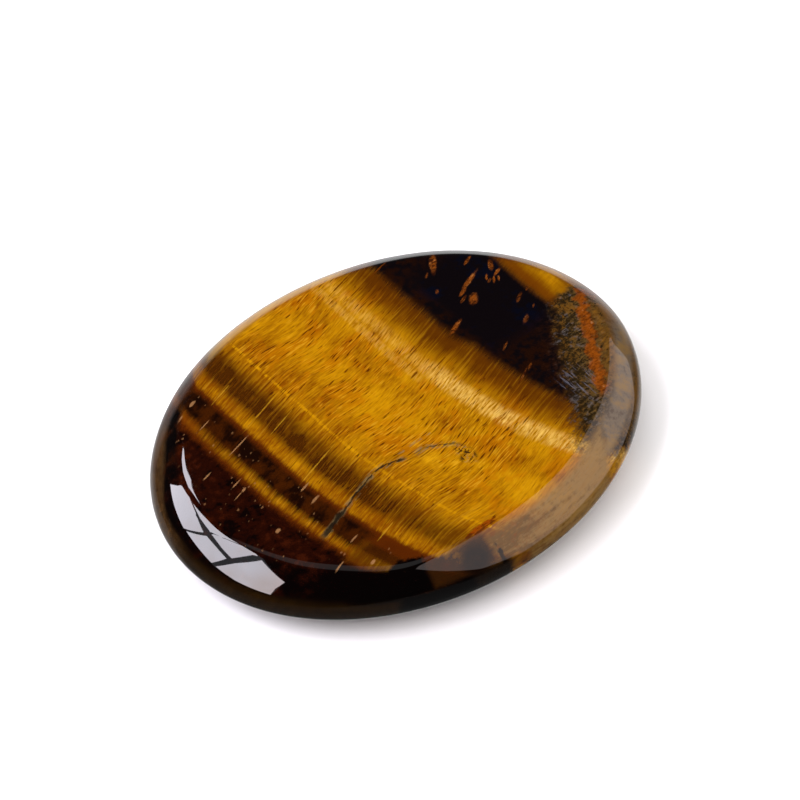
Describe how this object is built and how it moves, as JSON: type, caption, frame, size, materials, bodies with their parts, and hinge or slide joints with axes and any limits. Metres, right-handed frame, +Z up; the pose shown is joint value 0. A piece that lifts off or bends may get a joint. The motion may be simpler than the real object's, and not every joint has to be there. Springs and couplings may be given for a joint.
{
  "type": "palm stone",
  "caption": "Oval polished palm stone of banded tiger's eye, with a flat face inside a bevelled, rounded edge and a softly domed underside.",
  "frame": {"origin": "middle of the flat spot that the stone rests on, under the middle of the oval", "axes": "+Z up through the polished face, +X along the oval's long axis"},
  "size_m": [0.045, 0.035, 0.0066],
  "materials": {
    "tigers_eye": "high polish, gold and brown fibrous bands with dark red-brown and near-black layers"
  },
  "bodies": {
    "root": {"stone": "tigers_eye"}
  },
  "joints": []
}
